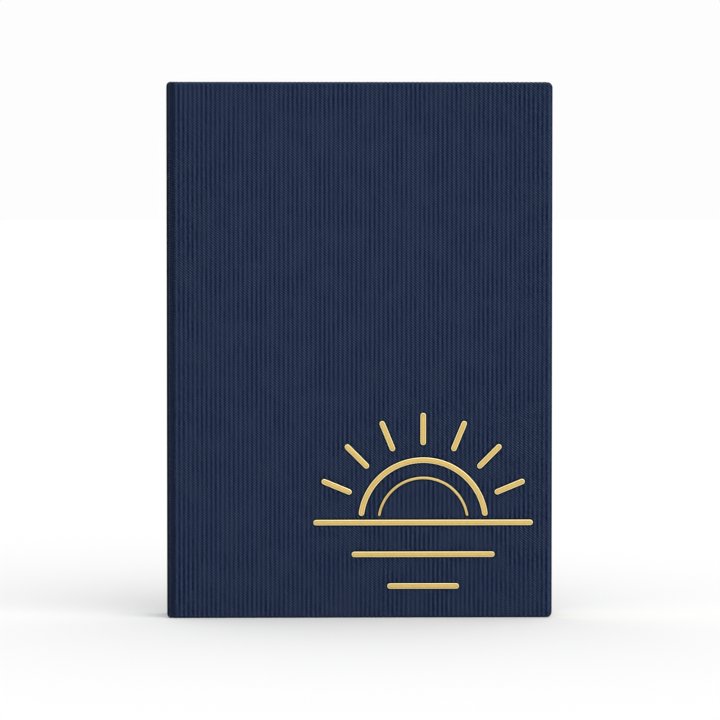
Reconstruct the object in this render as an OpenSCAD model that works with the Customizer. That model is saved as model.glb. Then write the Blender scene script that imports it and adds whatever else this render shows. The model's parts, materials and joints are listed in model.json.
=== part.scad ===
// Case-bound day book, used as a pilot's logbook, closed and standing on its tail edge.
// The spine is at -X, the front cover faces -Y and the head is up, along +Z.
// The origin is the middle of the tail, on the surface that the book stands on.

/* [Case] */
// Width of the closed book, spine to fore-edge
book_w = 151; // [120:1:220]
// Height of the closed book, tail to head
book_h = 210; // [160:1:300]
// Thickness of the two cover boards
board_t = 2; // [1.5:0.1:3]
// Thickness of the spine board
spine_board_t = 1; // [0.8:0.1:1.4]
// Thickness of the ribbed cover cloth
cloth_t = 0.35; // [0.3:0.05:0.5]
// Radius of the cover's fore-edge corners
corner_r = 2.3; // [1:0.1:6]
// Radius of the cloth round the two long edges of the spine
spine_r = 0.9; // [0.5:0.1:1.2]
// Radius of the spine's head and tail ends, seen from the front
spine_end_r = 1.7; // [0.8:0.1:1.7]
// Width of the cloth turned in over the inside of the boards
turn_in = 15; // [10:1:20]
// Clear width of the joint groove between the spine and a board
joint_w = 1; // [0.8:0.1:2]
// Depth of the joint groove
joint_depth = 1.05; // [0.6:0.05:1.5]
// How far the cover stands past the pages at the head, the tail and the fore-edge
square_w = 3; // [2:0.5:5]

/* [Page block] */
// Thickness of one leaf of the paper
leaf_t = 0.08; // [0.06:0.01:0.12]
// Leaves in one sewn section
section_leaves = 16; // [8:4:32]
// Thickness of the endpapers
endpaper_t = 0.15; // [0.1:0.01:0.2]
// Width of the fold strip that holds an endpaper to the first leaf
tip_w = 4; // [3:0.5:8]

/* [Spine linings] */
// Thickness of the gauze mull on the folds
mull_t = 0.15; // [0.1:0.05:0.3]
// Thickness of the kraft paper over the mull
liner_t = 0.15; // [0.1:0.05:0.3]
// How far the mull reaches over the inside of a board
mull_flap_w = 28; // [20:1:40]
// Radius of the rolled headband
headband_r = 0.8; // [0.5:0.1:1]
// Diameter of the sewing thread
thread_d = 0.28; // [0.2:0.01:0.3]
// Length of one stitch on the back of a fold
stitch_l = 6; // [4:1:10]

/* [Gold mark] */
// Width of the broad gold lines
line_w = 2.1; // [1.5:0.1:3]
// Width of the fine gold lines
fine_w = 0.9; // [0.6:0.1:1.5]
// Radius of the rising sun
sun_r = 24.5; // [18:0.5:26]
// Radius that the sun's rays reach
ray_r = 42; // [36:0.5:44]
// Clear gap between the sun and the horizon
sun_gap = 1.6; // [1:0.1:4]
// Distance of the mark from the cover's fore-edge
mark_side = 7.5; // [5:0.5:20]
// Distance of the mark from the cover's tail
mark_foot = 11.4; // [8:0.1:30]
// Depth that the mark is pressed into the cloth
press_depth = 0.15; // [0.05:0.05:0.2]

/* [Hidden] */
section_count = 12;
section_gap = 0.04;  // air between two sections
leaf_gap = 0.05;     // air on each side of a flyleaf
slit = 0.1;          // where the joint cloth parts between spine and cover
hollow_gap = 0.1;    // air between the spine turn-in and the kraft liner
foil_t = 0.1;
wall = 1;            // overlap that a cutting solid has past a face
round_fn = 64;

// Through the thickness, from the middle outwards
section_t = leaf_t * section_leaves;
section_pitch = section_t + section_gap;
block_half = (section_count * section_pitch - section_gap) / 2;
fly_in = block_half + leaf_gap;
paste_in = fly_in + endpaper_t + leaf_gap;
turn_face = paste_in + endpaper_t;
board_in = turn_face + cloth_t;
board_out = board_in + board_t;
half_t = board_out + cloth_t;

// Across the width, from the spine to the fore-edge
x_spine = -book_w / 2;
x_spine_board = x_spine + cloth_t;
x_turn = x_spine_board + spine_board_t;
x_groove = x_turn + cloth_t;
x_edge = x_groove + joint_w;
x_board = x_edge + cloth_t;
x_liner = x_groove + hollow_gap;
x_mull = x_liner + liner_t;
x_thread = x_mull + mull_t;
x_fold = x_thread + 0.3;
x_fore = book_w / 2;
x_leaf = x_fore - square_w;
x_split = (x_groove + x_edge) / 2;

// Up the height
z_foot = square_w;
z_head = book_h - square_w;
leaf_h = z_head - z_foot;

// Joint groove, measured from the outer face
y_groove = half_t - joint_depth;
y_groove_in = y_groove - cloth_t;

// Places of the headbands, the mull and the stitches
band_tape_h = 12;
mull_margin = 14;
liner_margin = 3;
stations = [0.09, 0.3, 0.5, 0.7, 0.91];

// Gold mark: a half sun over a horizon, with its light on the water
water = [[12.5, 27], [25, 13]];  // drop below the horizon, half length
mark_cx = x_fore - mark_side - ray_r - line_w / 2;
horizon_z = mark_foot + water[1][0] + line_w / 2;
ray_from = sun_r + 7;
fine_r = sun_r - 7;
ray_step = 22.5;

cloth_color = [0.13, 0.18, 0.28];
gold_color = [0.86, 0.7, 0.38];
board_color = [0.6, 0.58, 0.54];
paper_color = [0.96, 0.94, 0.88];
gauze_color = [0.9, 0.89, 0.84];
kraft_color = [0.7, 0.55, 0.38];

function two_digits(i) = i < 10 ? str("0", i) : str(i);
function section_name(i) = str("section_", two_digits(i));
function section_y(i) = -block_half + (i - 1) * section_pitch;

// A block between two corners
module block(low, high) {
    translate(low) cube(high - low);
}

// A flat sheet in the XZ plane, its two fore-edge corners rounded, from y_low to y_high
module cover_plate(x_low, x_high, margin, y_low, y_high, r) {
    h = book_h - 2 * margin;
    translate([x_low, y_high, margin]) rotate([90, 0, 0]) linear_extrude(y_high - y_low) {
        translate([0, r]) square([x_high - x_low, h - 2 * r]);
        square([x_high - x_low - r, h]);
        for (z = [r, h - r]) translate([x_high - x_low - r, z]) circle(r, $fn = round_fn);
    }
}

// The case seen from the front with its spine ends rounded, through the whole thickness
module spine_outline(margin, r) {
    h = book_h - 2 * margin;
    translate([x_spine + margin, half_t + wall, margin]) rotate([90, 0, 0]) linear_extrude(2 * (half_t + wall)) {
        translate([r, 0]) square([x_edge - x_spine - margin - r, h]);
        translate([0, r]) square([x_edge - x_spine - margin, h - 2 * r]);
        for (z = [r, h - r]) translate([r, z]) circle(r, $fn = round_fn);
    }
}

// A rectangle with all four corners rounded
module round_rect(low, high, r) {
    size = high - low;
    translate(low) {
        translate([r, 0]) square([size.x - 2 * r, size.y]);
        translate([0, r]) square([size.x, size.y - 2 * r]);
        for (x = [r, size.x - r], y = [r, size.y - r]) translate([x, y]) circle(r, $fn = round_fn);
    }
}

// One straight gold line with round ends, d deep, standing in from the cover's face at y_low
module line(from, to, w, y_low, d) {
    length = norm(to - from);
    angle = atan2(to.y - from.y, to.x - from.x);
    translate([mark_cx + from.x, y_low, horizon_z + from.y]) rotate([0, -angle, 0]) {
        translate([0, 0, -w / 2]) cube([length, d, w]);
        for (x = [0, length]) translate([x, 0, 0]) rotate([-90, 0, 0]) cylinder(r = w / 2, h = d, $fn = round_fn);
    }
}

// A round gold line of the sun with round ends, from just above the horizon to just above it
module sun_arc(r, w, y_low, d) {
    end = asin((line_w / 2 + sun_gap + w / 2) / r);
    translate([mark_cx, y_low + d, horizon_z]) rotate([90, 0, 0]) {
        rotate([0, 0, end]) rotate_extrude(angle = 180 - 2 * end, $fn = 2 * round_fn)
            translate([r - w / 2, 0]) square([w, d]);
        for (a = [end, 180 - end]) rotate([0, 0, a]) translate([r, 0, 0]) cylinder(r = w / 2, h = d, $fn = round_fn);
    }
}

// The whole gold mark as a plate d thick
module mark(y_low, d) {
    sun_arc(sun_r, line_w, y_low, d);
    sun_arc(fine_r, fine_w, y_low, d);
    line([-ray_r, 0], [ray_r, 0], line_w, y_low, d);
    for (a = [ray_step:ray_step:180 - ray_step])
        line(ray_from * [cos(a), sin(a)], ray_r * [cos(a), sin(a)], line_w, y_low, d);
    for (w = water) line([-w[1], -w[0]], [w[1], -w[0]], line_w, y_low, d);
}

// Cloth over one board, front side: outer face, three turned edges and the lip down into the joint
module cover_cloth() {
    difference() {
        cover_plate(x_edge, x_fore, 0, -half_t, -turn_face, corner_r);
        cover_plate(x_board, x_fore - cloth_t, cloth_t, -board_out, -board_in, corner_r - cloth_t);
        block([x_edge - wall, -board_in, turn_in], [x_fore - turn_in, -turn_face + wall, book_h - turn_in]);
        block([x_edge - wall, -y_groove_in, -wall], [x_board, wall, book_h + wall]);
    }
    block([x_split + slit / 2, -y_groove, cloth_t], [x_edge + cloth_t / 2, -y_groove_in, book_h - cloth_t]);
}

module board() {
    cover_plate(x_board, x_fore - cloth_t, cloth_t, -board_out, -board_in, corner_r - cloth_t);
}

// The gauze's free flap, glued to the inside of a board under the pastedown
module mull_flap() {
    block([x_board, -board_in, mull_margin + turn_in], [x_board + mull_flap_w, -board_in + mull_t,
        book_h - mull_margin - turn_in]);
}

// Endpaper leaf glued to the board: it lies on the turned-in cloth and dips to the board inside it
module pastedown() {
    inside = turn_in + endpaper_t;
    difference() {
        block([x_board, -board_in + mull_t, z_foot], [x_leaf, -paste_in, z_head]);
        difference() {
            block([x_board - wall, -board_in, 0], [x_fore, -turn_face, book_h]);
            block([x_board - wall, -half_t, turn_in], [x_fore - turn_in, 0, book_h - turn_in]);
        }
        block([x_board - wall, -board_in + mull_t + endpaper_t, inside], [x_fore - inside, 0, book_h - inside]);
    }
}

module flyleaf() {
    block([x_fold + tip_w, -fly_in - endpaper_t, z_foot], [x_leaf, -fly_in, z_head]);
}

module headband() {
    translate([x_fold + headband_r, block_half, z_head + leaf_gap + headband_r]) rotate([90, 0, 0])
        cylinder(r = headband_r, h = 2 * block_half, $fn = round_fn);
    block([x_thread, -block_half, z_head - band_tape_h],
        [x_thread + mull_t, block_half, z_head + leaf_gap + headband_r]);
    block([x_thread, -block_half, z_head + leaf_gap],
        [x_fold + headband_r, block_half, z_head + leaf_gap + headband_r]);
}

module spine_cloth() {
    color(cloth_color) {
        difference() {
            intersection() {
                linear_extrude(book_h) round_rect([x_spine, -half_t], [x_groove, half_t], spine_r);
                spine_outline(0, spine_end_r);
            }
            spine_board_shape();
            block([x_turn - cloth_t, -y_groove_in, turn_in], [x_groove + wall, y_groove_in, book_h - turn_in]);
        }
        for (side = [0, 1]) mirror([0, side, 0])
            block([x_groove - cloth_t / 2, -y_groove, cloth_t], [x_split - slit / 2, -y_groove_in, book_h - cloth_t]);
    }
}

module spine_board_shape() {
    intersection() {
        block([x_spine_board, -board_out, cloth_t], [x_turn, board_out, book_h - cloth_t]);
        spine_outline(cloth_t, spine_end_r - cloth_t);
    }
}

module spine_board() {
    color(board_color) spine_board_shape();
}

module spine_liner() {
    color(kraft_color)
        block([x_liner, -block_half, z_foot + liner_margin], [x_mull, block_half, z_head - liner_margin]);
}

module mull_spine() {
    color(gauze_color)
        block([x_mull, -block_half, mull_margin], [x_thread, block_half, book_h - mull_margin]);
}

module sewing_thread() {
    color(gauze_color)
        for (s = stations, i = [1:section_count])
            translate([x_fold - thread_d / 2 - slit / 10, section_y(i) + section_t / 2, z_foot + s * leaf_h - stitch_l / 2])
                cylinder(d = thread_d, h = stitch_l, $fn = round_fn);
}

module headband_head() {
    color(cloth_color) headband();
}

module headband_tail() {
    color(cloth_color) translate([0, 0, book_h]) mirror([0, 0, 1]) headband();
}

module front_cover_cloth() {
    color(cloth_color) difference() {
        cover_cloth();
        mark(-half_t - wall, wall + press_depth);
    }
}

module back_cover_cloth() {
    color(cloth_color) mirror([0, 1, 0]) cover_cloth();
}

module front_board() {
    color(board_color) board();
}

module back_board() {
    color(board_color) mirror([0, 1, 0]) board();
}

module mull_front_flap() {
    color(gauze_color) mull_flap();
}

module mull_back_flap() {
    color(gauze_color) mirror([0, 1, 0]) mull_flap();
}

module front_pastedown() {
    color(paper_color) pastedown();
}

module back_pastedown() {
    color(paper_color) mirror([0, 1, 0]) pastedown();
}

module cover_foil() {
    color(gold_color) mark(-half_t + press_depth - foil_t, foil_t);
}

module front_flyleaf() {
    color(paper_color) flyleaf();
}

module back_flyleaf() {
    color(paper_color) mirror([0, 1, 0]) flyleaf();
}

// One sewn section, its folded edge round and lying against the spine
module section(i) {
    r = section_t / 2;
    color(paper_color) translate([x_fold, section_y(i), z_foot]) linear_extrude(leaf_h) {
        translate([r, r]) circle(r, $fn = round_fn);
        translate([r, 0]) square([x_leaf - x_fold - r, section_t]);
    }
}

spine_cloth();
spine_board();
spine_liner();
mull_spine();
sewing_thread();
headband_head();
headband_tail();
front_cover_cloth();
front_board();
mull_front_flap();
front_pastedown();
cover_foil();
back_cover_cloth();
back_board();
mull_back_flap();
back_pastedown();
front_flyleaf();
back_flyleaf();
for (i = [1:section_count]) section(i);
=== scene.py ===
import json
import math

import bmesh
import bpy
import numpy as np
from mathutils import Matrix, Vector

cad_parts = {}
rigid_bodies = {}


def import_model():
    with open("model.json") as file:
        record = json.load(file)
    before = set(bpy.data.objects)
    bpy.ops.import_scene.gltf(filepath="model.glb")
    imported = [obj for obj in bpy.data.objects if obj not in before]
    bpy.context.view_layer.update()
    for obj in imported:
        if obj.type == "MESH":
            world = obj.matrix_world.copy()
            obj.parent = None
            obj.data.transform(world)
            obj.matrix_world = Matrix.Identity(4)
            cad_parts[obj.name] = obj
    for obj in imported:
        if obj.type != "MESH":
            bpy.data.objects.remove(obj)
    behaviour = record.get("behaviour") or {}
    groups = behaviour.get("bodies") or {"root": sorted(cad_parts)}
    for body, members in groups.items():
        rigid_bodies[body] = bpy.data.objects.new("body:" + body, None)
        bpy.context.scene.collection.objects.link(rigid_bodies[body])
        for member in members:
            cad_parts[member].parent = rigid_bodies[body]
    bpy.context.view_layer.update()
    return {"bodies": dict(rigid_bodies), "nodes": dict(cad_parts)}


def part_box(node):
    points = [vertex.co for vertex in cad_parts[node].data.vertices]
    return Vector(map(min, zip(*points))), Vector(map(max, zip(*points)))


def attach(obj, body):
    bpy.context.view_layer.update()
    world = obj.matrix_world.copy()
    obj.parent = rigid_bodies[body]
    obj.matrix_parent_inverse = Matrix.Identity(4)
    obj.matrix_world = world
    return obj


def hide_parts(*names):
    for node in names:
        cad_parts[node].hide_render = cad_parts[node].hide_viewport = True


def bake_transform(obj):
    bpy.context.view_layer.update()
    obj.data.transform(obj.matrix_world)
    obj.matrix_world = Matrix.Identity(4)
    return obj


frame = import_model()
mm = 0.001
draw = np.random.default_rng(21)


# A CAD node's two corners in millimetres
def cornersOf(node):
    low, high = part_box(node)
    return np.array(low) / mm, np.array(high) / mm


spineLow, spineHigh = cornersOf("spine_cloth")
coverLow, coverHigh = cornersOf("front_cover_cloth")
boardLow, boardHigh = cornersOf("front_board")
foilLow, foilHigh = cornersOf("cover_foil")
pasteLow, pasteHigh = cornersOf("front_pastedown")
flyLow, flyHigh = cornersOf("front_flyleaf")

bookHeight = coverHigh[2]
halfThick = -coverLow[1]
clothThick = coverHigh[0] - boardHigh[0]
foldX = cornersOf("section_01")[0][0]

print("helpers")


# 0 below low, 1 above high, and 3t^2 - 2t^3 in between
def smooth(value, low, high):
    t = np.clip((value - low) / (high - low), 0, 1)
    return t * t * (3 - 2 * t)


# Quads of a grid of points: each joins its next row and its next column
def gridQuads(rows, columns, first=0):
    at = first + np.arange(rows * columns).reshape(rows, columns)
    return np.stack([at[:-1, :-1], at[:-1, 1:], at[1:, 1:], at[1:, :-1]], -1).reshape(-1, 4).tolist()


# A new object of that mesh, light or camera in the scene
def newObject(name, data):
    made = bpy.data.objects.new(name, data)
    bpy.context.scene.collection.objects.link(made)
    return made


# One closed piece: points in millimetres become a mesh in metres, doubled points merge and faces turn
# outwards. flat is each point's place on the flat cloth or paper, and marks are its other values for the
# material. An edge sharper than sharpDeg stays an edge.
def makePiece(name, points, faces, material, flat=None, marks=None, sharpDeg=50):
    mesh = bpy.data.meshes.new(name)
    mesh.from_pydata((points * mm).tolist(), [], faces)
    if flat is not None:
        corners = np.empty(len(mesh.loops), np.int32)
        mesh.loops.foreach_get("vertex_index", corners)
        layer = mesh.uv_layers.new(name="flatMm")
        layer.data.foreach_set("uv", flat[corners].astype(np.float32).ravel())
    for markName, values in (marks or {}).items():
        mark = mesh.attributes.new(markName, "FLOAT", "POINT")
        mark.data.foreach_set("value", np.asarray(values, np.float32))
    tidy = bmesh.new()
    tidy.from_mesh(mesh)
    bmesh.ops.remove_doubles(tidy, verts=tidy.verts, dist=1e-6)
    bmesh.ops.recalc_face_normals(tidy, faces=tidy.faces)
    tidy.to_mesh(mesh)
    tidy.free()
    mesh.polygons.foreach_set("use_smooth", [True] * len(mesh.polygons))
    mesh.set_sharp_from_angle(angle=math.radians(sharpDeg))
    mesh.materials.append(material)
    return newObject(name, mesh)


# sRGB hex to linear: c / 12.92 up to 0.04045, else ((c + 0.055) / 1.055) ^ 2.4
def hexLinear(text):
    parts = [int(text[i:i + 2], 16) / 255 for i in (1, 3, 5)]
    return tuple(c / 12.92 if c <= 0.04045 else ((c + 0.055) / 1.055) ** 2.4 for c in parts) + (1.0,)


# Adds a node to a material: settings are its properties, or only its operation's name, and links are its
# inputs, each a number, a hex colour, another node's socket or, for its first socket, a node
def addNode(tree, kind, settings=None, links=None):
    made = tree.nodes.new("ShaderNode" + kind)
    if isinstance(settings, str):
        settings = {"operation": settings}
    for name, value in (settings or {}).items():
        setattr(made, name, value)
    for socket, value in (links or {}).items():
        if isinstance(value, bpy.types.Node):
            value = value.outputs[0]
        if isinstance(value, bpy.types.NodeSocket):
            tree.links.new(value, made.inputs[socket])
        else:
            made.inputs[socket].default_value = hexLinear(value) if isinstance(value, str) else value
    return made


# A material without nodes, and its tree
def newMaterial(name):
    material = bpy.data.materials.new(name)
    material.use_nodes = True
    material.node_tree.nodes.clear()
    return material, material.node_tree


# The shader that reaches the surface: its inputs are named with _ for each space
def finishMaterial(tree, **inputs):
    surface = addNode(tree, "BsdfPrincipled", links={key.replace("_", " "): v for key, v in inputs.items()})
    addNode(tree, "OutputMaterial", links={"Surface": surface})


print("materials")

rgba = {"data_type": "RGBA"}
flatNoise = {"noise_dimensions": "2D"}
softRange = {"interpolation_type": "SMOOTHSTEP"}

clothLook = {
    "ribPitch": 1.777,       # one vertical rib
    "ribShade": -0.62,       # strength of the ribs' gaps, below 0 for dark gaps and light crowns
    "twillAcross": 1.36,     # the fine diagonal's period along the width
    "twillUp": 0.98,         # and along the height
    "twillEdge": 0.8,        # 1 for a soft wave, less for crisper threads
    "twillLeast": 0.6, "twillMost": 1.15,
    "patch": 9.0,            # size of the areas where the diagonal shows more or less
    "driftSize": 6.0, "drift": 0.3,
    "grain": 1.1, "speck": 0.35,
    "darkAt": -0.5, "lightAt": 1.85,
    "relief": 0.22,
    "dark": "#000928",
    "light": "#455776",
    # The pale colour is a painted highlight along the edges, and the near-black one is painted shade
    "edgeHighlight": "#3d4d70", "mostHighlight": 0.8,
    "shade": "#020409", "mostShade": 0.9,
}


# Book cloth, woven with cords under a fine twill and starch-filled: matt, with light threads on the ribs and
# dark gaps between them, the gaps partly painted shade, a painted highlight where a turned edge starts to
# turn and painted shade just past it. The twill is the sine of width and height over their periods,
# steepened, and the ribs are a cosine of the width. Both are drawn a little coarser than the cloth's own and
# in deeper relief, so that they show.
def wovenBookCloth(name, pressed=0.0):
    look = clothLook
    material, tree = newMaterial(name)
    flat = addNode(tree, "UVMap", {"uv_map": "flatMm"})
    axes = addNode(tree, "SeparateXYZ", links={0: flat}).outputs
    # Slow unevenness of the weaving pushes the diagonal a little to and fro
    drift = addNode(tree, "TexNoise", flatNoise,
                    {"Vector": flat, "Scale": 1 / look["driftSize"], "Detail": 1.0})
    patches = addNode(tree, "TexNoise", flatNoise,
                      {"Vector": flat, "Scale": 1 / look["patch"], "Detail": 2.0})
    across = addNode(tree, "Math", "DIVIDE", {0: axes[0], 1: look["twillAcross"]})
    up = addNode(tree, "Math", "DIVIDE", {0: axes[1], 1: look["twillUp"]})
    both = addNode(tree, "Math", "ADD", {0: across, 1: up})
    turned = addNode(tree, "Math", "MULTIPLY_ADD", {0: drift, 1: look["drift"], 2: both})
    phase = addNode(tree, "Math", "MULTIPLY", {0: turned, 1: 2 * math.pi})
    wave = addNode(tree, "Math", "SINE", {0: phase})
    twill = addNode(tree, "MapRange", softRange,
                    {0: wave, 1: -look["twillEdge"], 2: look["twillEdge"], 3: -1.0, 4: 1.0})
    clear = addNode(tree, "MapRange", softRange,
                    {0: patches, 1: 0.35, 2: 0.65, 3: look["twillLeast"], 4: look["twillMost"]})
    fine = addNode(tree, "Math", "MULTIPLY", {0: twill, 1: clear})
    ribAt = addNode(tree, "Math", "MULTIPLY", {0: axes[0], 1: 2 * math.pi / look["ribPitch"]})
    rib = addNode(tree, "Math", "COSINE", {0: ribAt})
    # Threads show on a rib's crown, and the gap between two ribs stays dark: the weave's own pattern, and
    # partly painted shade in the valleys
    height = addNode(tree, "Math", "MULTIPLY_ADD", {0: rib, 1: look["ribShade"], 2: fine})
    grain = addNode(tree, "TexNoise", flatNoise, {"Vector": flat, "Scale": 1 / look["grain"], "Detail": 1.0})
    speck = addNode(tree, "MapRange", links={0: grain, 1: 0.3, 2: 0.7, 3: -look["speck"], 4: look["speck"]})
    threads = addNode(tree, "Math", "ADD", {0: height, 1: speck})
    share = addNode(tree, "MapRange", links={0: threads, 1: look["darkAt"], 2: look["lightAt"]})
    colour = addNode(tree, "Mix", rgba, {0: share, 6: look["dark"], 7: look["light"]})
    # The edge tone is above 0 for a painted highlight along an edge, and below 0 for painted shade along
    # edges, folds and the groove
    tone = addNode(tree, "Attribute", {"attribute_name": "paintedLightTone"}).outputs["Fac"]
    # Painted highlight: the pale colour mixed in where the tone is above 0
    highlitShare = addNode(tree, "MapRange", links={0: tone, 4: look["mostHighlight"]})
    edgeHighlight = addNode(tree, "Mix", rgba, {0: highlitShare, 6: colour.outputs[2], 7: look["edgeHighlight"]})
    # Painted shade: the near-black colour mixed in where the tone is below 0, and by pressed over the whole
    # piece
    shadedShare = addNode(tree, "MapRange", links={0: tone, 2: -1.0, 3: pressed, 4: look["mostShade"]})
    final = addNode(tree, "Mix", rgba, {0: shadedShare, 6: edgeHighlight.outputs[2], 7: look["shade"]})
    bump = addNode(tree, "Bump", links={"Height": height, "Distance": look["relief"] * mm})
    finishMaterial(tree, Base_Color=final.outputs[2], Roughness=0.78, Specular_IOR_Level=0.05,
                   Sheen_Weight=0.02, Sheen_Roughness=0.5, Normal=bump)
    return material


foilLook = {
    # edge is the painted highlight's colour on the shoulders
    "middle": "#e1be70", "edge": "#fff8c8", "brown": "#a98d42", "roughness": 0.32,
    "rim": (0.66, 0.8),      # where the painted highlight on the shoulder starts and is full, as a share of the way out
    "line": (0.42, 0.6),     # and the browner line inside it
    "lineShade": 0.75,
    "mottle": 1.6, "tarnish": 0.22,
    "weave": 0.7, "weaveDeep": 0.02,     # the cloth's threads, felt through the foil
}


# Brass-gold hot-stamping foil, pressed into the cloth by a heated die: a satin metal with a painted highlight
# along its pressed shoulders, and a thin browner line inside them
def stampedGoldFoil():
    look = foilLook
    material, tree = newMaterial("stampedGoldFoil")
    place = addNode(tree, "TexCoord").outputs["Object"]
    across = addNode(tree, "Attribute", {"attribute_name": "acrossStroke"}).outputs["Fac"]
    # Painted highlight: the pale edge colour on the shoulders
    rim = addNode(tree, "MapRange", softRange, {0: across, 1: look["rim"][0], 2: look["rim"][1]})
    inside = addNode(tree, "MapRange", softRange,
                     {0: across, 1: look["line"][0], 2: look["line"][1], 4: look["lineShade"]})
    mottle = addNode(tree, "TexNoise",
                     links={"Vector": place, "Scale": 1 / (look["mottle"] * mm), "Detail": 3.0})
    tarnish = addNode(tree, "MapRange", links={0: mottle, 1: 0.35, 2: 0.75, 4: look["tarnish"]})
    warm = addNode(tree, "Mix", rgba, {0: tarnish, 6: look["middle"], 7: look["brown"]})
    line = addNode(tree, "Mix", rgba, {0: inside, 6: warm.outputs[2], 7: look["brown"]})
    colour = addNode(tree, "Mix", rgba, {0: rim, 6: line.outputs[2], 7: look["edge"]})
    weave = addNode(tree, "TexNoise",
                    links={"Vector": place, "Scale": 1 / (look["weave"] * mm), "Detail": 2.0})
    bump = addNode(tree, "Bump",
                   links={"Height": weave, "Distance": look["weaveDeep"] * mm, "Strength": 0.35})
    finishMaterial(tree, Base_Color=colour.outputs[2], Metallic=1.0, Roughness=look["roughness"],
                   Normal=bump)
    return material


pageLook = {
    "paper": "#f3eedf", "warm": "#e6dcc2", "ink": "#8d9bb0",
    "fibre": 1.5, "fibreShade": 0.25, "fibreDeep": 0.01,
    "lineEvery": 7.0, "lineWide": 0.22,
    "columns": (28.0, 52.0, 76.0, 96.0, 116.0),
    "ruled": ((11.0, 136.0), (11.0, 195.0)),     # the grid's extent from the fold and from the tail
}


# Uncoated wood-free writing paper, machine-made and guillotined: matt cream, each leaf's edge a little
# different, with a plain printed grid of pale ruled lines and columns
def ruledWritingPaper():
    look = pageLook
    material, tree = newMaterial("ruledWritingPaper")
    flat = addNode(tree, "UVMap", {"uv_map": "flatMm"})
    axes = addNode(tree, "SeparateXYZ", links={0: flat}).outputs
    leaf = addNode(tree, "Attribute", {"attribute_name": "leafTone"}).outputs["Fac"]
    fibre = addNode(tree, "TexNoise", flatNoise, {"Vector": flat, "Scale": 1 / look["fibre"], "Detail": 4.0})
    uneven = addNode(tree, "Math", "MULTIPLY_ADD", {0: fibre, 1: look["fibreShade"], 2: leaf})
    paper = addNode(tree, "Mix", rgba, {0: uneven, 6: look["paper"], 7: look["warm"]})
    # A rule wherever the height is near a whole number of lineEvery, and a line at each column's place
    near = addNode(tree, "Math", "PINGPONG", {0: axes[1], 1: look["lineEvery"] / 2})
    ink = addNode(tree, "Math", "LESS_THAN", {0: near, 1: look["lineWide"] / 2})
    for place in look["columns"]:
        column = addNode(tree, "Math", "COMPARE", {0: axes[0], 1: place, 2: look["lineWide"] / 2})
        ink = addNode(tree, "Math", "MAXIMUM", {0: ink, 1: column})
    for axis, (start, end) in enumerate(look["ruled"]):
        above = addNode(tree, "Math", "GREATER_THAN", {0: axes[axis], 1: start})
        below = addNode(tree, "Math", "LESS_THAN", {0: axes[axis], 1: end})
        ink = addNode(tree, "Math", "MULTIPLY", {0: ink, 1: above})
        ink = addNode(tree, "Math", "MULTIPLY", {0: ink, 1: below})
    printed = addNode(tree, "Mix", rgba, {0: ink, 6: paper.outputs[2], 7: look["ink"]})
    bump = addNode(tree, "Bump",
                   links={"Height": fibre, "Distance": look["fibreDeep"] * mm, "Strength": 0.25})
    finishMaterial(tree, Base_Color=printed.outputs[2], Roughness=0.9, Specular_IOR_Level=0.25, Normal=bump)
    return material


# A plain matt material of one real stuff: two tones mottled at grain millimetres, drawn out by stretch
def plainStuff(name, tones, grain, roughness, bumpDepth, stretch=(1, 1, 1)):
    material, tree = newMaterial(name)
    place = addNode(tree, "TexCoord").outputs["Object"]
    fit = addNode(tree, "Mapping", links={"Vector": place, "Scale": stretch})
    mottle = addNode(tree, "TexNoise", links={"Vector": fit, "Scale": 1 / (grain * mm), "Detail": 4.0})
    spread = addNode(tree, "MapRange", links={0: mottle, 1: 0.3, 2: 0.7})
    colour = addNode(tree, "Mix", rgba, {0: spread, 6: tones[0], 7: tones[1]})
    bump = addNode(tree, "Bump", links={"Height": mottle, "Distance": bumpDepth * mm, "Strength": 0.6})
    finishMaterial(tree, Base_Color=colour.outputs[2], Roughness=roughness, Specular_IOR_Level=0.3,
                   Normal=bump)
    return material


gauzeLook = {
    "hole": "#b9b19a", "thread": "#efebdd",
    "threadEvery": 1.4,
    "bandPeriod": 0.314,     # a band texture's period at scale 1
    "uneven": 0.6, "deep": 0.05,
}


# Cotton gauze sized with starch: an open plain weave, drawn twice as coarse as it is so that it shows
def starchedGauze():
    look = gauzeLook
    material, tree = newMaterial("starchedGauze")
    place = addNode(tree, "TexCoord").outputs["Object"]
    scale = look["bandPeriod"] / (look["threadEvery"] * mm)
    weave = []
    for direction in ("X", "Z"):
        bands = addNode(tree, "TexWave", {"wave_type": "BANDS", "bands_direction": direction},
                        {"Vector": place, "Scale": scale, "Distortion": look["uneven"]})
        weave.append(bands.outputs["Fac"])
    cross = addNode(tree, "Math", "MAXIMUM", {0: weave[0], 1: weave[1]})
    colour = addNode(tree, "Mix", rgba, {0: cross, 6: look["hole"], 7: look["thread"]})
    bump = addNode(tree, "Bump", links={"Height": cross, "Distance": look["deep"] * mm, "Strength": 0.8})
    finishMaterial(tree, Base_Color=colour.outputs[2], Roughness=0.95, Specular_IOR_Level=0.2, Normal=bump)
    return material


silkLook = {
    "navy": "#1b2a4c", "cream": "#efe6cf", "creamShade": "#cfc3a4",
    "strand": 0.12, "strandDeep": 0.02,
}


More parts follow.
